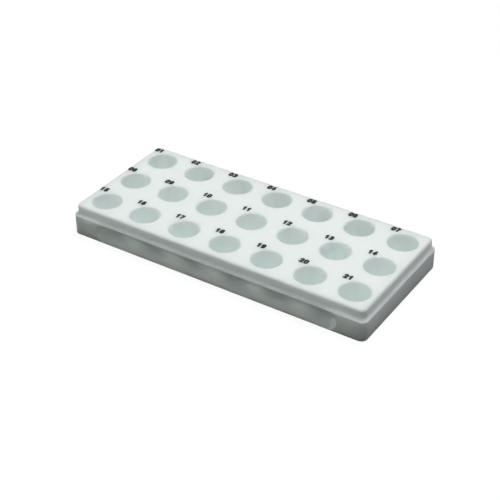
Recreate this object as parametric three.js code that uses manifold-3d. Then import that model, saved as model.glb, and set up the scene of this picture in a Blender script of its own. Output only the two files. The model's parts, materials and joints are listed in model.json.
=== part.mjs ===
// Tube rack: one solid block of white plastic with a raised deck, a grid of blind round
// wells and one long finger groove in each long side.
// Millimetres. +X runs along the rack, +Y to its back, +Z up.
// The origin is the middle of the underside, so the rack stands on z = 0.
import * as THREE from 'three';
import { mergeVertices } from 'three/addons/utils/BufferGeometryUtils.js';
import Module from 'manifold-3d';

const wasm = await Module();
wasm.setup();

// ---- driving dimensions ----
const COLUMNS = 7;
const ROWS = 3;
const WELL_PITCH = 21;
const WELL_DIAMETER = 13.2;
const WELL_DEPTH = 12;
const WELL_FLOOR_FILLET = 0.8;
const WELL_MOUTH_ROUNDING = 0.8;

const BASE_LENGTH = 148;
const BASE_WIDTH = 64.7;
const BASE_HEIGHT = 9.4;
const BASE_CORNER_RADIUS = 3;
const BASE_RIM_ROUNDING = 0.2;

const LEDGE_WIDTH = 1.3;
const DECK_HEIGHT = 5;
const DECK_CORNER_RADIUS = 2.4;
const DECK_FOOT_COVE = 1;
const DECK_RIM_ROUNDING = 1;

const GROOVE_LENGTH = 122.2;
const GROOVE_HEIGHT = 8.8;
const GROOVE_DEPTH = 3;

const PLASTIC_COLOUR = 0xe6ecea;
const PLASTIC_ROUGHNESS = 0.42;

// ---- how finely curves are faceted ----
// A path divides each of its arcs into twice as many segments as it is asked for.
const CORNER_DIVISIONS = 3;
const PROFILE_DIVISIONS = 2;
const WELL_SIDES = 32;
const FILLET_SEGMENTS = 2;
const MOUTH_SEGMENTS = 2;
const GROOVE_SIDES = 28;
const GROOVE_END_SEGMENTS = 7;
const MERGE_DISTANCE = 1e-4;

// ---- dimensions that follow ----
const TOTAL_HEIGHT = BASE_HEIGHT + DECK_HEIGHT;
const WELL_RADIUS = WELL_DIAMETER / 2;
const WELL_FLOOR_Z = TOTAL_HEIGHT - WELL_DEPTH;
// The middle of the ledge's flat, between the base's rounded rim and the deck's cove.
const LEDGE_FLAT_INSET = (BASE_RIM_ROUNDING + LEDGE_WIDTH - DECK_FOOT_COVE) / 2;
// How far the cutter of a well reaches past the face that it opens.
const OVERCUT = 2;
const QUARTER_TURN = Math.PI / 2;

/** Turns a closed three.js geometry into a solid that can be joined and cut. */
function toSolid(geometry) {
  geometry.deleteAttribute('normal');
  geometry.deleteAttribute('uv');
  const merged = mergeVertices(geometry, MERGE_DISTANCE);
  const corners = merged.index.array;
  const triangles = [];
  for (let first = 0; first < corners.length; first += 3) {
    const [a, b, c] = corners.slice(first, first + 3);
    // A pole or a seam leaves triangles that merging has folded to a line.
    if (a !== b && b !== c && c !== a) triangles.push(a, b, c);
  }
  return new wasm.Manifold(new wasm.Mesh({
    numProp: 3,
    vertProperties: new Float32Array(merged.attributes.position.array),
    triVerts: new Uint32Array(triangles),
  }));
}

/** Turns a solid back into a three.js geometry. */
function toGeometry(solid) {
  const mesh = solid.getMesh();
  const geometry = new THREE.BufferGeometry();
  geometry.setAttribute('position', new THREE.BufferAttribute(mesh.vertProperties, mesh.numProp));
  geometry.setIndex(new THREE.BufferAttribute(mesh.triVerts, 1));
  geometry.computeVertexNormals();
  return geometry;
}

/** The corner radius of the block's outline where it is drawn in by inset. */
function cornerRadius(inset) {
  return inset < LEDGE_FLAT_INSET
    ? BASE_CORNER_RADIUS - inset
    : DECK_CORNER_RADIUS + LEDGE_WIDTH - inset;
}

/** The points of the block's outline, anticlockwise, drawn in from the base's by inset. */
function outlinePoints(inset) {
  const radius = cornerRadius(inset);
  const x = BASE_LENGTH / 2 - inset - radius;
  const y = BASE_WIDTH / 2 - inset - radius;
  const outline = new THREE.Shape();
  outline.absarc(x, y, radius, 0, QUARTER_TURN);
  outline.absarc(-x, y, radius, QUARTER_TURN, 2 * QUARTER_TURN);
  outline.absarc(-x, -y, radius, 2 * QUARTER_TURN, 3 * QUARTER_TURN);
  outline.absarc(x, -y, radius, 3 * QUARTER_TURN, 4 * QUARTER_TURN);
  // The last point is the first one again.
  return outline.getPoints(CORNER_DIVISIONS).slice(0, -1);
}

/**
 * The side of the block in section, from the underside up: x is how far the side is drawn
 * in, and y is the height. A rounded rim, a ledge and a cove lead from the base to the deck.
 */
function sideProfile() {
  const rim = BASE_RIM_ROUNDING;
  const cove = DECK_FOOT_COVE;
  const lip = DECK_RIM_ROUNDING;
  const profile = new THREE.Path();
  profile.moveTo(0, 0);
  profile.lineTo(0, BASE_HEIGHT - rim);
  profile.absarc(rim, BASE_HEIGHT - rim, rim, 2 * QUARTER_TURN, QUARTER_TURN, true);
  profile.absarc(LEDGE_WIDTH - cove, BASE_HEIGHT + cove, cove, -QUARTER_TURN, 0, false);
  profile.absarc(LEDGE_WIDTH + lip, TOTAL_HEIGHT - lip, lip, 2 * QUARTER_TURN, QUARTER_TURN, true);
  return profile.getPoints(PROFILE_DIVISIONS);
}

/** Base and deck as one closed block: an outline for each point of the side's profile. */
function steppedBlock() {
  const levels = sideProfile();
  const rings = levels.map((level) => outlinePoints(level.x));
  const ringSize = rings[0].length;
  const positions = [];
  rings.forEach((ring, index) => {
    ring.forEach((point) => positions.push(point.x, point.y, levels[index].y));
  });

  const triangles = [];
  for (let level = 0; level < rings.length - 1; level += 1) {
    for (let corner = 0; corner < ringSize; corner += 1) {
      const here = level * ringSize + corner;
      const next = level * ringSize + (corner + 1) % ringSize;
      triangles.push(here, next, next + ringSize);
      triangles.push(here, next + ringSize, here + ringSize);
    }
  }
  const lid = (rings.length - 1) * ringSize;
  for (const [a, b, c] of THREE.ShapeUtils.triangulateShape(rings[0], [])) {
    triangles.push(a, c, b);
    triangles.push(lid + a, lid + b, lid + c);
  }

  const block = new THREE.BufferGeometry();
  block.setAttribute('position', new THREE.Float32BufferAttribute(positions, 3));
  block.setIndex(triangles);
  return toSolid(block);
}

/** What the cutter of one well removes: a round pocket with a filleted floor and a round mouth. */
function wellCutter(x, y) {
  const outline = [new THREE.Vector2(0, WELL_FLOOR_Z)];
  for (let step = 0; step <= FILLET_SEGMENTS; step += 1) {
    const turn = QUARTER_TURN * (step / FILLET_SEGMENTS);
    outline.push(new THREE.Vector2(
      WELL_RADIUS - WELL_FLOOR_FILLET * (1 - Math.sin(turn)),
      WELL_FLOOR_Z + WELL_FLOOR_FILLET * (1 - Math.cos(turn))));
  }
  for (let step = 0; step <= MOUTH_SEGMENTS; step += 1) {
    const turn = QUARTER_TURN * (step / MOUTH_SEGMENTS);
    outline.push(new THREE.Vector2(
      WELL_RADIUS + WELL_MOUTH_ROUNDING * (1 - Math.cos(turn)),
      TOTAL_HEIGHT - WELL_MOUTH_ROUNDING * (1 - Math.sin(turn))));
  }
  outline.push(new THREE.Vector2(WELL_RADIUS + WELL_MOUTH_ROUNDING, TOTAL_HEIGHT + OVERCUT));
  outline.push(new THREE.Vector2(0, TOTAL_HEIGHT + OVERCUT));
  const pocket = new THREE.LatheGeometry(outline, WELL_SIDES);
  return toSolid(pocket.rotateX(QUARTER_TURN).translate(x, y, 0));
}

/**
 * What a ball-nosed cutter removes along one long side: a bar with round ends, whose
 * axis lies outside the side face. side is -1 for the front and 1 for the back.
 */
function grooveCutter(side) {
  const halfHeight = GROOVE_HEIGHT / 2;
  const ballRadius = (halfHeight ** 2 + GROOVE_DEPTH ** 2) / (2 * GROOVE_DEPTH);
  const axisOutside = ballRadius - GROOVE_DEPTH;
  const straight = GROOVE_LENGTH - GROOVE_HEIGHT;
  const bar = new THREE.CapsuleGeometry(
    ballRadius, straight, GROOVE_END_SEGMENTS, GROOVE_SIDES);
  bar.rotateZ(QUARTER_TURN);
  bar.translate(0, side * (BASE_WIDTH / 2 + axisOutside), BASE_HEIGHT / 2);
  return toSolid(bar);
}

/** The whole rack as one solid. */
function rackSolid() {
  let rack = steppedBlock();
  for (let row = 0; row < ROWS; row += 1) {
    for (let column = 0; column < COLUMNS; column += 1) {
      const x = (column - (COLUMNS - 1) / 2) * WELL_PITCH;
      const y = (row - (ROWS - 1) / 2) * WELL_PITCH;
      rack = rack.subtract(wellCutter(x, y));
    }
  }
  for (const side of [-1, 1]) {
    rack = rack.subtract(grooveCutter(side));
  }
  return rack;
}

const plastic = new THREE.MeshStandardMaterial({
  color: PLASTIC_COLOUR,
  roughness: PLASTIC_ROUGHNESS,
  metalness: 0,
});
const rackBody = new THREE.Mesh(toGeometry(rackSolid()), plastic);
rackBody.name = 'rack_body';

const tubeRack = new THREE.Group();
tubeRack.add(rackBody);

export default tubeRack;
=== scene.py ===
import json
import math
from contextlib import contextmanager

import bmesh
import bpy
from bpy.props import FloatProperty, FloatVectorProperty, PointerProperty
from mathutils import Matrix, Vector


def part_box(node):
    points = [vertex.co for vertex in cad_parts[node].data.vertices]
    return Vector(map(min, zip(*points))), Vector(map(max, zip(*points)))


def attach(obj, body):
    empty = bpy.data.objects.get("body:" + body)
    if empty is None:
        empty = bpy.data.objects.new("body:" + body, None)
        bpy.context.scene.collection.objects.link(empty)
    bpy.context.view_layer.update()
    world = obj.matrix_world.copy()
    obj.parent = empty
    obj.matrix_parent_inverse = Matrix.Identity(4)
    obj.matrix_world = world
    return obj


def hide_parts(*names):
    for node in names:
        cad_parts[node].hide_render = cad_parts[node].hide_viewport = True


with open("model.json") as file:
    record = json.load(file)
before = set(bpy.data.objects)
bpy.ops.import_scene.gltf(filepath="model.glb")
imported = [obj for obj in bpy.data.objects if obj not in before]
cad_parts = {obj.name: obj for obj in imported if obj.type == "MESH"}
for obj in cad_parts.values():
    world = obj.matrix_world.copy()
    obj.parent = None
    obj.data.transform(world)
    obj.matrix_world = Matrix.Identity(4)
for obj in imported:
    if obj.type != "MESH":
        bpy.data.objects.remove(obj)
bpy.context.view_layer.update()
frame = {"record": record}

bl_info = {
    "name": "Tube rack",
    "version": (1, 0, 0),
    "blender": (4, 5, 0),
    "location": "View3D > Sidebar > Tube rack",
    "description": "Models a one-piece plastic tube rack with printed well numbers",
    "category": "Add Mesh",
}

# The frame: one solid node, whose box and well openings place everything here.
BODY = "root"
RACK_NODE = "rack_body"
LOW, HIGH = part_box(RACK_NODE)
LENGTH = HIGH.x - LOW.x
WIDTH = HIGH.y - LOW.y
HEIGHT = HIGH.z - LOW.z
WELL_OPENINGS = [
    opening for opening in frame["record"]["physics"]["openings"]
    if opening["name"].startswith("well_")
]

MM = 0.001
TINY = 1e-6
WELL_SIDES = 96
CORNER_SEGMENTS = 14
RIM_SEGMENTS = 6
GROOVE_SIDES = 96
GROOVE_RINGS = 48
SMOOTH_ANGLE = math.radians(32)
# How much of a face's normal points up, at most on a wall and at least on a flat top.
WALL_TILT = 0.1
FLAT_TILT = 0.9
# How far above the deck the flare of a well's cutter ends, as a share of its rounding.
MOUTH_OVERSHOOT = 0.04
# Degrees between the points of a pen line's arc, its fewest steps, and steps in a round end.
ARC_STEP = 12
ARC_FEWEST_STEPS = 4
CAP_STEPS = 10


# ---------------------------------------------------------------- settings

def length(name, description, default):
    """A size in metres that the sidebar shows in scene units."""
    return FloatProperty(
        name=name, description=description, default=default, min=0.0, precision=5,
        subtype="DISTANCE", unit="LENGTH")


def colour(name, description, default):
    """A linear colour with a colour picker."""
    return FloatVectorProperty(
        name=name, description=description, default=default, size=3, min=0.0, max=1.0,
        subtype="COLOR")


class RackSizes(bpy.types.PropertyGroup):
    """The sizes of the block, apart from its length, width and height."""

    ledge_width: length("Ledge width", "How far the deck stands back from the base", 1.3 * MM)
    deck_height: length("Deck height", "How far the deck rises above the base", 5.0 * MM)
    base_corner: length("Base corner", "Radius of the base's upright corners", 3.0 * MM)
    deck_corner: length("Deck corner", "Radius of the deck's upright corners", 2.4 * MM)
    base_rim: length("Base rim", "Rounding of the base's upper edge", 0.18 * MM)
    underside_rim: length("Underside rim", "Rounding of the lowest edge", 0.25 * MM)
    cove: length("Cove", "Radius of the hollow corner at the deck's foot", 1.0 * MM)
    deck_rim: length("Deck rim", "Rounding of the deck's upper edge", 1.0 * MM)
    well_diameter: length("Well diameter", "Bore of one well", 13.2 * MM)
    well_depth: length("Well depth", "Depth of one well below the deck", 12.0 * MM)
    well_floor: length("Floor fillet", "Fillet between a well's wall and its floor", 0.8 * MM)
    well_mouth: length("Well mouth", "Rounding of a well's mouth", 0.8 * MM)
    groove_length: length("Groove length", "Length of a finger groove", 122.2 * MM)
    groove_height: length("Groove height", "Height of a finger groove", 8.8 * MM)
    groove_depth: length("Groove depth", "Depth of a finger groove", 3.0 * MM)


class NumberSizes(bpy.types.PropertyGroup):
    """The printed well numbers."""

    digit_height: length("Digit height", "Height of a digit", 3.2 * MM)
    digit_width: length("Digit width", "Width of a digit", 2.12 * MM)
    pitch: length("Pitch", "From the middle of one digit to the next", 2.16 * MM)
    stroke: length("Stroke", "Thickness of a digit's lines", 0.98 * MM)
    film: length("Ink film", "How far the ink stands above the deck", 0.02 * MM)
    place: FloatVectorProperty(
        name="Place", description="Middle of a number, from the middle of its well",
        default=(-7.07 * MM, 7.2 * MM), size=2, subtype="XYZ", unit="LENGTH", precision=5)


class RackFinish(bpy.types.PropertyGroup):
    """Colours and surface of the plastic and of the ink."""

    plastic: colour("Plastic", "Colour of the milky plastic", (0.912, 0.98, 0.974))
    roughness: FloatProperty(
        name="Roughness", description="Roughness of the plastic", default=0.42,
        min=0.0, max=1.0, subtype="FACTOR")
    light_reach: length("Light reach", "How far light travels inside the plastic", 5.5 * MM)
    grain: length("Grain", "Size of the fine grain on the moulded surface", 0.5 * MM)
    ink: colour("Ink", "Colour of the printed numbers", (0.004, 0.004, 0.005))


class Studio(bpy.types.PropertyGroup):
    """The camera, the floor and the light from all round."""

    azimuth: FloatProperty(
        name="Azimuth", description="Turn of the camera round the rack",
        default=math.radians(32.87), subtype="ANGLE")
    elevation: FloatProperty(
        name="Elevation", description="Height of the camera above the horizon",
        default=math.radians(34.25), subtype="ANGLE")
    distance: length("Distance", "From the camera to the point it looks at", 0.5406)
    aim: FloatVectorProperty(
        name="Aim", description="The point that the camera looks at",
        default=(0.00343, -0.00641, 0.004), size=3, subtype="XYZ", unit="LENGTH",
        precision=5)
    focal: FloatProperty(
        name="Focal length", description="Focal length of the lens in millimetres",
        default=89.5, min=1.0, subtype="DISTANCE_CAMERA")
    floor: colour("Floor", "Colour of the floor where it lights the rack", (0.03, 0.03, 0.03))
    fill: FloatProperty(
        name="Fill", description="Strength of the light that comes from all round",
        default=0.0, min=0.0)


# ---------------------------------------------------------------- modelling helpers

def deselect_all():
    """Leaves nothing selected."""
    if bpy.context.object and bpy.context.object.mode != "OBJECT":
        bpy.ops.object.mode_set(mode="OBJECT")
    bpy.ops.object.select_all(action="DESELECT")


def activate(*pieces):
    """Selects these pieces alone; the first is the active one."""
    deselect_all()
    for piece in pieces:
        piece.select_set(True)
    bpy.context.view_layer.objects.active = pieces[0]


def settle(piece):
    """Moves the piece's place into its mesh, so that its object stands at the origin."""
    activate(piece)
    bpy.ops.object.transform_apply(location=True, rotation=True, scale=True)


@contextmanager
def editing(piece, mode):
    """Edit mode on one piece, with nothing selected at first. mode is VERT, EDGE or FACE."""
    activate(piece)
    bpy.ops.object.mode_set(mode="EDIT")
    bpy.ops.mesh.select_mode(type=mode)
    bpy.ops.mesh.select_all(action="DESELECT")
    yield bmesh.from_edit_mesh(piece.data)
    bpy.ops.object.mode_set(mode="OBJECT")


def pick(elements, wanted):
    """Selects the faces, edges or vertices that pass a test; there has to be at least one."""
    chosen = [element for element in elements if wanted(element)]
    if not chosen:
        raise RuntimeError("no part of the mesh passes the test")
    for element in chosen:
        element.select_set(True)


def level(edge, z):
    """Whether both ends of an edge lie at one height."""
    return all(abs(vertex.co.z - z) < TINY for vertex in edge.verts)


def bevel_edges(piece, wanted, radius, segments):
    """Rounds the edges that pass a test."""
    with editing(piece, "EDGE") as mesh:
        pick(mesh.edges, wanted)
        bpy.ops.mesh.bevel(offset=radius, segments=segments, profile=0.5, affect="EDGES")


def apply_modifiers(piece):
    """Applies every modifier of a piece in order."""
    activate(piece)
    for modifier in list(piece.modifiers):
        bpy.ops.object.modifier_apply(modifier=modifier.name)


def combine(piece, other, operation):
    """Unites the piece with the other solid or cuts the other away, and removes the other."""
    modifier = piece.modifiers.new("combine", "BOOLEAN")
    modifier.operation = operation
    modifier.solver = "EXACT"
    modifier.object = other
    apply_modifiers(piece)
    bpy.data.objects.remove(other)


def join(pieces):
    """Joins pieces into the first one."""
    activate(*pieces)
    bpy.ops.object.join()
    return pieces[0]


def merge_doubles(piece):
    """Merges vertices that all but coincide, and turns every face outwards."""
    with editing(piece, "VERT"):
        bpy.ops.mesh.select_all(action="SELECT")
        bpy.ops.mesh.remove_doubles(threshold=TINY)
        bpy.ops.mesh.normals_make_consistent(inside=False)


def finish_surface(piece):
    """Merges stray doubles, and shades round stretches smooth and flat ones flat."""
    merge_doubles(piece)
    activate(piece)
    bpy.ops.object.shade_smooth_by_angle(angle=SMOOTH_ANGLE)
    modifier = piece.modifiers.new("flat faces stay flat", "WEIGHTED_NORMAL")
    modifier.mode = "FACE_AREA"
    modifier.keep_sharp = True
    apply_modifiers(piece)


# ---------------------------------------------------------------- the block

def rounded_box(size_x, size_y, low, high, corner_radius):
    """A box with round upright corners, centred on the origin, from one height to another."""
    bpy.ops.mesh.primitive_cube_add(
        size=1.0, location=(0.0, 0.0, (low + high) / 2), scale=(size_x, size_y, high - low))
    box = bpy.context.object
    settle(box)

    def upright(edge):
        return abs(edge.verts[0].co.z - edge.verts[1].co.z) > TINY
    bevel_edges(box, upright, corner_radius, CORNER_SEGMENTS)
    return box


def stepped_block(sizes, top):
    """
    Base and deck, each a box with round corners, united and with their rims rounded. The
    deck's box starts half way up inside the base's.
    """
    base_height = top - sizes.deck_height
    block = rounded_box(LENGTH, WIDTH, 0.0, base_height, sizes.base_corner)
    stand_back = 2 * sizes.ledge_width
    deck = rounded_box(
        LENGTH - stand_back, WIDTH - stand_back, base_height / 2, top, sizes.deck_corner)
    combine(block, deck, "UNION")

    bevel_edges(block, lambda edge: level(edge, top), sizes.deck_rim, RIM_SEGMENTS)
    bevel_edges(
        block, lambda edge: level(edge, base_height) and on_side(edge),
        sizes.base_rim, RIM_SEGMENTS)
    bevel_edges(
        block, lambda edge: level(edge, base_height) and at_foot(edge),
        sizes.cove, RIM_SEGMENTS)
    bevel_edges(block, lambda edge: level(edge, 0.0), sizes.underside_rim, RIM_SEGMENTS)
    return block


def walls(edge):
    """How many of an edge's faces are upright."""
    return sum(abs(face.normal.z) < WALL_TILT for face in edge.link_faces)


def on_side(edge):
    """Whether an edge is the upper rim of the base."""
    return walls(edge) == 1 and edge.is_convex


def at_foot(edge):
    """Whether an edge is where the deck's wall meets the ledge."""
    return walls(edge) == 1 and not edge.is_convex


def well_cutter(sizes, top):
    """One well as a solid: a round bar with a filleted end, flared where the mouth is."""
    radius = sizes.well_diameter / 2
    flare = sizes.well_mouth
    neck = top - flare
    floor = top - sizes.well_depth
    bpy.ops.mesh.primitive_cylinder_add(
        vertices=WELL_SIDES, radius=radius, depth=neck - floor,
        location=(0.0, 0.0, (neck + floor) / 2))
    cutter = bpy.context.object
    settle(cutter)
    bevel_edges(cutter, lambda edge: level(edge, floor), sizes.well_floor, RIM_SEGMENTS)
    with editing(cutter, "FACE") as mesh:
        pick(
            mesh.faces,
            lambda face: face.normal.z > FLAT_TILT and len(face.verts) == WELL_SIDES)
        at_radius, at_height = radius, neck
        for step in range(1, RIM_SEGMENTS + 1):
            turn = math.radians(90) * step / RIM_SEGMENTS
            next_radius = radius + flare * (1 - math.cos(turn))
            next_height = neck + flare * math.sin(turn)
            # The last step overshoots the deck a little, so that the cut crosses it cleanly.
            if step == RIM_SEGMENTS:
                next_height += flare * MOUTH_OVERSHOOT
            bpy.ops.mesh.extrude_region_move(
                TRANSFORM_OT_translate={"value": (0.0, 0.0, next_height - at_height)})
            grow = next_radius / at_radius
            bpy.ops.transform.resize(value=(grow, grow, 1.0))
            at_radius, at_height = next_radius, next_height
        bpy.ops.mesh.extrude_region_move(
            TRANSFORM_OT_translate={"value": (0.0, 0.0, flare)})
    return cutter


def well_centres():
    """The middle of each well, as its opening in the frame gives it."""
    for opening in WELL_OPENINGS:
        low, high = opening["box_m"]
        yield opening["name"].removeprefix("well_"), (low[0] + high[0]) / 2, (low[1] + high[1]) / 2


def all_wells(sizes, top):
    """The cutter of every well, as one object."""
    first = well_cutter(sizes, top)
    cutters = []
    for _, x, y in well_centres():
        cutter = first.copy()
        cutter.data = first.data.copy()
        cutter.location = (x, y, 0.0)
        bpy.context.collection.objects.link(cutter)
        cutters.append(cutter)
    bpy.data.objects.remove(first)
    for cutter in cutters:
        settle(cutter)
    return join(cutters)


def groove_cutter(sizes, top, side):
    """One finger groove as a solid: a bar with round ends, its axis outside the side face."""
    half_height = sizes.groove_height / 2
    depth = sizes.groove_depth
    ball = (half_height ** 2 + depth ** 2) / (2 * depth)
    stretch = sizes.groove_length / 2 - half_height
    middle = (top - sizes.deck_height) / 2
    bpy.ops.mesh.primitive_uv_sphere_add(
        segments=GROOVE_SIDES, ring_count=GROOVE_RINGS, radius=ball,
        rotation=(0.0, math.radians(90), 0.0))
    cutter = bpy.context.object
    settle(cutter)
    for end in (-1, 1):
        with editing(cutter, "VERT") as mesh:
            pick(mesh.verts, lambda vertex: vertex.co.x * end > TINY)
            bpy.ops.transform.translate(value=(end * stretch, 0.0, 0.0))
    cutter.location = (0.0, side * (WIDTH / 2 + ball - depth), middle)
    settle(cutter)
    return cutter


def build_block(sizes, film):
    """The whole block in one mesh. Its top lies an ink film below the frame's."""
    deselect_all()
    top = HEIGHT - film
    block = stepped_block(sizes, top)
    combine(block, all_wells(sizes, top), "DIFFERENCE")
    for side in (-1, 1):
        combine(block, groove_cutter(sizes, top, side), "DIFFERENCE")
    finish_surface(block)
    block.name = "rack_block"
    return block


# ---------------------------------------------------------------- the numbers

def arc(x, y, half_width, half_height, start, end):
    """Points along an upright elliptical arc, from one angle in degrees to another."""
    steps = max(ARC_FEWEST_STEPS, round(abs(end - start) / ARC_STEP))
    angles = [math.radians(start + (end - start) * step / steps) for step in range(steps + 1)]
    return [
        (x + half_width * math.cos(angle), y + half_height * math.sin(angle))
        for angle in angles]


def digit_lines(a, b):
    """
    The pen lines of each digit, drawn round its middle. a and b are half the width and half
    the height of the pen's path. Every line gets round ends, so lines that meet join round.
    The bowl is the round lower part of a 5 and a 6, and a 9 is a 6 turned over.
    """
    bowl = 0.56 * b
    low = bowl - b
    six = [arc(0, low, a, bowl, 0, 360), [(-a, low)] + arc(0, b - a, a, a, 180, 50)]
    oval = arc(0, b - a, a, a, 0, 180) + arc(0, a - b, a, a, 180, 360) + [(a, b - a)]
    return {
        "0": [oval],
        "1": [[(0.2 * a, -b), (0.2 * a, b)], [(0.2 * a, b), (-0.7 * a, 0.5 * b)]],
        "2": [arc(0, b - a, a, a, 165, -40) + [(-a, -b)], [(-a, -b), (a, -b)]],
        "3": [arc(0, 0.53 * b, 0.92 * a, 0.47 * b, 155, -85),
              arc(0, -0.47 * b, a, 0.53 * b, 78, -155)],
        "4": [[(0.45 * a, -b), (0.45 * a, b)], [(0.45 * a, b), (-a, -0.38 * b)],
              [(-a, -0.38 * b), (1.05 * a, -0.38 * b)]],
        "5": [[(0.85 * a, b), (-0.75 * a, b)], [(-0.75 * a, b), (-0.85 * a, 0.05 * b)],
              arc(0, low, a, bowl, 150, -150)],
        "6": six,
        "7": [[(-a, b), (a, b)], [(a, b), (-0.3 * a, -b)]],
        "8": [arc(0, 0.5 * b, 0.95 * a, 0.5 * b, 0, 360), arc(0, -0.5 * b, a, 0.5 * b, 0, 360)],
        "9": [[(-x, -y) for x, y in line] for line in six],
    }


def stroke_outline(line, half_stroke):
    """The outline of a pen line: both of its sides, and a half circle round each end."""
    points = [Vector(point) for point in line]
    count = len(points)
    left, right = [], []
    for index, point in enumerate(points):
        before = points[max(index - 1, 0)]
        after = points[min(index + 1, count - 1)]
        along = (after - before).normalized()
        across = half_stroke * Vector((-along.y, along.x))
        left.append(point + across)
        right.append(point - across)

    def cap(middle, first):
        turn = math.radians(180) / CAP_STEPS
        return [middle + Matrix.Rotation(-step * turn, 2) @ first for step in range(1, CAP_STEPS)]
    end_cap = cap(points[-1], left[-1] - points[-1])
    start_cap = cap(points[0], right[0] - points[0])
    return left + end_cap + right[::-1] + start_cap


def flat_solid(outline, thickness):
    """A flat closed curve raised to a thin solid, centred on z = 0."""
    curve = bpy.data.curves.new("outline", "CURVE")
    curve.dimensions = "2D"
    curve.fill_mode = "BOTH"
    curve.extrude = thickness / 2
    spline = curve.splines.new("POLY")
    spline.points.add(len(outline) - 1)
    for point, place in zip(spline.points, outline):
        point.co = (*place, 0.0, 1.0)
    spline.use_cyclic_u = True
    piece = bpy.data.objects.new("outline", curve)
    bpy.context.collection.objects.link(piece)
    activate(piece)
    bpy.ops.object.convert(target="MESH")
    piece = bpy.context.object
    merge_doubles(piece)
    return piece


def halves(line, stroke):
    """
    A bent line whose ends come within a stroke of each other, as two lines, because its
    outline would cross itself. Any other line stays as it is.
    """
    if len(line) == 2 or math.dist(line[0], line[-1]) > stroke:
        return [line]
    middle = len(line) // 2
    return [line[:middle + 1], line[middle:]]


def digit_solid(lines, numbers):
    """One digit: the solids of its pen lines, united."""
    stroke = numbers.stroke
    outlines = [
        stroke_outline(part, stroke / 2) for line in lines for part in halves(line, stroke)]
    digit, *others = [flat_solid(outline, 2 * numbers.film) for outline in outlines]
    for other in others:
        combine(digit, other, "UNION")
    merge_doubles(digit)
    return digit


def build_numbers(numbers):
    """All the well numbers as one piece that lies in the deck's surface."""
    deselect_all()
    half_width = (numbers.digit_width - numbers.stroke) / 2
    half_height = (numbers.digit_height - numbers.stroke) / 2
    patterns = {
        digit: digit_solid(lines, numbers)
        for digit, lines in digit_lines(half_width, half_height).items()}
    deck = HEIGHT - numbers.film
    marks = []
    for text, x, y in well_centres():
        for place, digit in enumerate(text):
            mark = patterns[digit].copy()
            mark.data = patterns[digit].data.copy()
            aside = (place - (len(text) - 1) / 2) * numbers.pitch
            mark.location = (x + numbers.place[0] + aside, y + numbers.place[1], deck)
            bpy.context.collection.objects.link(mark)
            marks.append(mark)
    for pattern in patterns.values():
        bpy.data.objects.remove(pattern)
    for mark in marks:
        settle(mark)
    printed = join(marks)
    printed.name = "well_numbers"
    return printed


# ---------------------------------------------------------------- materials

# Nearly all values of a noise pattern lie between these two.
NOISE_RANGE = (0.3, 0.7)
# Faint clouds in the plastic's colour: their scale, and how dark they get.
MOTTLE_SCALE = 60.0
MOTTLE_SHADE = 0.985
# Smears that are smoother or rougher than the plastic by this much.
SMEAR_SCALE = 150.0
ROUGHNESS_SPREAD = 0.04
# The moulded grain, as bump.
GRAIN_STRENGTH = 0.25
GRAIN_HEIGHT = 0.02 * MM
# Patches in the ink, and its smoothest and roughest ones.
INK_PATCH_SCALE = 900.0
INK_ROUGHNESS = (0.5, 0.7)

PLASTIC_IOR = 1.45
# Red, green and blue light reach equally far into the plastic.
REACH_OF_COLOURS = (1.0, 1.0, 1.0)
# Plastic and ink both reflect less at the surface than Blender's usual 0.5.
SATIN_SPECULAR = 0.3

# The floor as the camera sees it: what a full shadow takes away, and what always remains.
FLOOR_SHADE = 0.25
FLOOR_GLOW = 0.82


def new_material(name):
    """An empty node material, with its nodes, links and output."""
    material = bpy.data.materials.new(name)
    material.use_nodes = True
    nodes = material.node_tree.nodes
    nodes.clear()
    output = nodes.new("ShaderNodeOutputMaterial")
    return material, nodes, material.node_tree.links, output


def noise(nodes, links, scale, detail):
    """Noise in object space, so that it stays on the piece."""
    place = nodes.new("ShaderNodeTexCoord")
    pattern = nodes.new("ShaderNodeTexNoise")
    pattern.inputs["Scale"].default_value = scale
    pattern.inputs["Detail"].default_value = detail
    links.new(place.outputs["Object"], pattern.inputs["Vector"])
    return pattern.outputs["Fac"]


def remap(nodes, links, value, low, high):
    """A noise value brought into a range."""
    node = nodes.new("ShaderNodeMapRange")
    node.inputs["From Min"].default_value = NOISE_RANGE[0]
    node.inputs["From Max"].default_value = NOISE_RANGE[1]
    node.inputs["To Min"].default_value = low
    node.inputs["To Max"].default_value = high
    links.new(value, node.inputs["Value"])
    return node.outputs["Result"]


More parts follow.
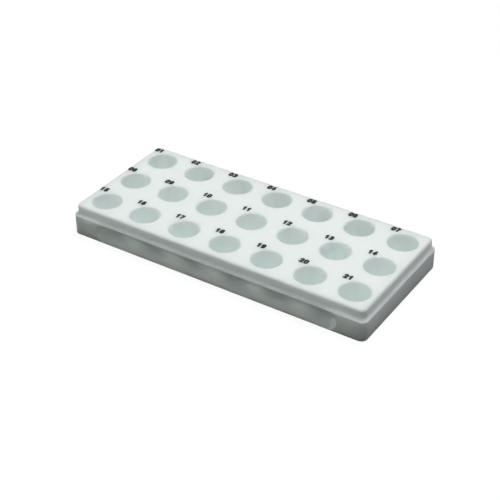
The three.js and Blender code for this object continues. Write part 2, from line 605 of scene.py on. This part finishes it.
def plastic_material(finish):
    """Milky satin plastic: light enters it, and the surface has a fine moulded grain."""
    material, nodes, links, output = new_material("milky_plastic")
    shader = nodes.new("ShaderNodeBsdfPrincipled")
    shader.inputs["Subsurface Weight"].default_value = 1.0
    shader.inputs["Subsurface Radius"].default_value = REACH_OF_COLOURS
    shader.inputs["Subsurface Scale"].default_value = finish.light_reach
    shader.inputs["IOR"].default_value = PLASTIC_IOR
    shader.inputs["Specular IOR Level"].default_value = SATIN_SPECULAR
    links.new(shader.outputs["BSDF"], output.inputs["Surface"])

    mottle = nodes.new("ShaderNodeMix")
    mottle.data_type = "RGBA"
    cloudy = noise(nodes, links, MOTTLE_SCALE, detail=3.0)
    links.new(remap(nodes, links, cloudy, 0.0, 1.0), mottle.inputs["Factor"])
    mottle.inputs["A"].default_value = (*finish.plastic, 1.0)
    mottle.inputs["B"].default_value = (*(MOTTLE_SHADE * Vector(finish.plastic)), 1.0)
    links.new(mottle.outputs["Result"], shader.inputs["Base Color"])

    smear = noise(nodes, links, SMEAR_SCALE, detail=4.0)
    rough = remap(
        nodes, links, smear,
        finish.roughness - ROUGHNESS_SPREAD, finish.roughness + ROUGHNESS_SPREAD)
    links.new(rough, shader.inputs["Roughness"])

    bump = nodes.new("ShaderNodeBump")
    bump.inputs["Strength"].default_value = GRAIN_STRENGTH
    bump.inputs["Distance"].default_value = GRAIN_HEIGHT
    grain = noise(nodes, links, 1.0 / finish.grain, detail=2.0)
    links.new(grain, bump.inputs["Height"])
    links.new(bump.outputs["Normal"], shader.inputs["Normal"])
    return material


def ink_material(finish):
    """Flat black print, a little uneven in gloss."""
    material, nodes, links, output = new_material("black_ink")
    shader = nodes.new("ShaderNodeBsdfPrincipled")
    shader.inputs["Base Color"].default_value = (*finish.ink, 1.0)
    shader.inputs["Specular IOR Level"].default_value = SATIN_SPECULAR
    patchy = noise(nodes, links, INK_PATCH_SCALE, detail=3.0)
    links.new(remap(nodes, links, patchy, *INK_ROUGHNESS), shader.inputs["Roughness"])
    links.new(shader.outputs["BSDF"], output.inputs["Surface"])
    return material


def seen_directly(nodes, links):
    """1 for rays from the camera and off glossy or clear surfaces, 0 for all other rays."""
    path = nodes.new("ShaderNodeLightPath")
    value = path.outputs["Is Camera Ray"]
    for kind in ("Is Glossy Ray", "Is Transmission Ray"):
        either = nodes.new("ShaderNodeMath")
        either.operation = "MAXIMUM"
        links.new(value, either.inputs[0])
        links.new(path.outputs[kind], either.inputs[1])
        value = either.outputs[0]
    return value


def floor_material(studio):
    """Floor that looks white and keeps the rack's soft shadow, but lights the rack little."""
    material, nodes, links, output = new_material("studio_floor")
    bounce = nodes.new("ShaderNodeBsdfDiffuse")
    bounce.inputs["Color"].default_value = (*studio.floor, 1.0)
    shadow = nodes.new("ShaderNodeBsdfDiffuse")
    shadow.inputs["Color"].default_value = (FLOOR_SHADE, FLOOR_SHADE, FLOOR_SHADE, 1.0)
    white = nodes.new("ShaderNodeEmission")
    white.inputs["Strength"].default_value = FLOOR_GLOW
    seen = nodes.new("ShaderNodeAddShader")
    links.new(shadow.outputs["BSDF"], seen.inputs[0])
    links.new(white.outputs["Emission"], seen.inputs[1])
    mix = nodes.new("ShaderNodeMixShader")
    links.new(seen_directly(nodes, links), mix.inputs["Fac"])
    links.new(bounce.outputs["BSDF"], mix.inputs[1])
    links.new(seen.outputs["Shader"], mix.inputs[2])
    links.new(mix.outputs["Shader"], output.inputs["Surface"])
    return material


# ---------------------------------------------------------------- the stage

# Metres from the rack to each lamp, and along the sides of a lamp and of the floor.
LAMP_DISTANCE = 0.9
LAMP_SIZE = 0.4
FLOOR_SIZE = 6.0
# Millimetres across the camera's sensor.
SENSOR_WIDTH = 36.0
# Name, azimuth and elevation in degrees, watts, colour.
LAMPS = (
    ("back", 180.0, 65.0, 3.0, (1.0, 1.0, 0.96)),
    ("right", 90.0, 68.0, 3.0, (0.92, 0.98, 1.0)),
    ("front", -15.0, 55.0, 1.8, (0.92, 1.0, 0.88)),
    ("left", -75.0, 32.0, 1.3, (0.86, 0.97, 1.0)),
)


def around(target, azimuth, elevation, distance):
    """A point seen from the target at an angle; azimuth 0 is in front of the rack."""
    return target + distance * Vector((
        math.sin(azimuth) * math.cos(elevation),
        -math.cos(azimuth) * math.cos(elevation),
        math.sin(elevation)))


def point_at(thing, place, target):
    """Puts a camera or a lamp at a place, looking at a target, with its top upwards."""
    thing.location = place
    thing.rotation_euler = (target - place).to_track_quat("-Z", "Y").to_euler()
    bpy.context.collection.objects.link(thing)


def add_lamp(name, azimuth, elevation, watts, tint):
    """One square soft lamp, aimed at the middle of the rack."""
    lamp = bpy.data.lights.new(name, "AREA")
    lamp.shape = "SQUARE"
    lamp.size = LAMP_SIZE
    lamp.energy = watts
    lamp.color = tint
    middle = Vector((0.0, 0.0, HEIGHT / 2))
    place = around(middle, math.radians(azimuth), math.radians(elevation), LAMP_DISTANCE)
    point_at(bpy.data.objects.new(name, lamp), place, middle)


def add_world(studio):
    """Even light from all round, and white where the camera sees past the floor."""
    world = bpy.data.worlds.new("studio")
    world.use_nodes = True
    nodes = world.node_tree.nodes
    links = world.node_tree.links
    nodes.clear()
    output = nodes.new("ShaderNodeOutputWorld")
    fill = nodes.new("ShaderNodeBackground")
    fill.inputs["Color"].default_value = (1.0, 1.0, 1.0, 1.0)
    fill.inputs["Strength"].default_value = studio.fill
    white = nodes.new("ShaderNodeBackground")
    white.inputs["Color"].default_value = (1.0, 1.0, 1.0, 1.0)
    mix = nodes.new("ShaderNodeMixShader")
    links.new(seen_directly(nodes, links), mix.inputs["Fac"])
    links.new(fill.outputs["Background"], mix.inputs[1])
    links.new(white.outputs["Background"], mix.inputs[2])
    links.new(mix.outputs["Shader"], output.inputs["Surface"])
    bpy.context.scene.world = world


def add_camera(studio):
    """The camera, level, with the whole rack in view."""
    camera = bpy.data.cameras.new("camera")
    camera.lens = studio.focal
    camera.sensor_width = SENSOR_WIDTH
    holder = bpy.data.objects.new("camera", camera)
    aim = Vector(studio.aim)
    place = around(aim, studio.azimuth, studio.elevation, studio.distance)
    point_at(holder, place, aim)
    bpy.context.scene.camera = holder


def add_floor(studio):
    """A large white floor under the rack."""
    deselect_all()
    bpy.ops.mesh.primitive_plane_add(size=FLOOR_SIZE)
    floor = bpy.context.object
    floor.name = "studio_floor"
    floor.data.materials.append(floor_material(studio))


# ---------------------------------------------------------------- operators

class RACK_OT_block(bpy.types.Operator):
    """Model the plastic block with its wells and finger grooves"""

    bl_idname = "rack.block"
    bl_label = "Plastic block"
    bl_options = {"REGISTER", "UNDO"}

    def execute(self, context):
        scene = context.scene
        block = build_block(scene.rack_sizes, scene.rack_numbers.film)
        block.data.materials.clear()
        block.data.materials.append(plastic_material(scene.rack_finish))
        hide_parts(RACK_NODE)
        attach(block, BODY)
        return {"FINISHED"}


class RACK_OT_numbers(bpy.types.Operator):
    """Print a number beside each well"""

    bl_idname = "rack.numbers"
    bl_label = "Well numbers"
    bl_options = {"REGISTER", "UNDO"}

    def execute(self, context):
        scene = context.scene
        printed = build_numbers(scene.rack_numbers)
        printed.data.materials.clear()
        printed.data.materials.append(ink_material(scene.rack_finish))
        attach(printed, BODY)
        return {"FINISHED"}


class RACK_OT_stage(bpy.types.Operator):
    """Set up the floor, the lamps and the camera"""

    bl_idname = "rack.stage"
    bl_label = "Studio"
    bl_options = {"REGISTER", "UNDO"}

    def execute(self, context):
        studio = context.scene.rack_studio
        add_floor(studio)
        add_world(studio)
        for lamp in LAMPS:
            add_lamp(*lamp)
        add_camera(studio)
        context.scene.view_settings.view_transform = "Standard"
        return {"FINISHED"}


class RACK_PT_sidebar(bpy.types.Panel):
    """Lists the rack's sizes, finishes and steps"""

    bl_label = "Tube rack"
    bl_idname = "RACK_PT_sidebar"
    bl_space_type = "VIEW_3D"
    bl_region_type = "UI"
    bl_category = "Tube rack"

    def draw(self, context):
        for group, operator in STEPS:
            settings = getattr(context.scene, group)
            box = self.layout.box()
            for name in type(settings).__annotations__:
                box.prop(settings, name)
            if operator:
                box.operator(operator)


STEPS = (
    ("rack_finish", None),
    ("rack_sizes", RACK_OT_block.bl_idname),
    ("rack_numbers", RACK_OT_numbers.bl_idname),
    ("rack_studio", RACK_OT_stage.bl_idname),
)
GROUPS = {
    "rack_sizes": RackSizes,
    "rack_numbers": NumberSizes,
    "rack_finish": RackFinish,
    "rack_studio": Studio,
}
CLASSES = (
    *GROUPS.values(), RACK_OT_block, RACK_OT_numbers, RACK_OT_stage, RACK_PT_sidebar)


def register():
    """Makes the settings, operators and panel known to Blender."""
    for each in CLASSES:
        bpy.utils.register_class(each)
    for name, group in GROUPS.items():
        setattr(bpy.types.Scene, name, PointerProperty(type=group))


def unregister():
    """Takes them away again."""
    for name in GROUPS:
        delattr(bpy.types.Scene, name)
    for each in reversed(CLASSES):
        bpy.utils.unregister_class(each)


def main():
    """Builds the rack and the studio."""
    register()
    bpy.ops.rack.block()
    bpy.ops.rack.numbers()
    bpy.ops.rack.stage()


if __name__ == "__main__":
    main()
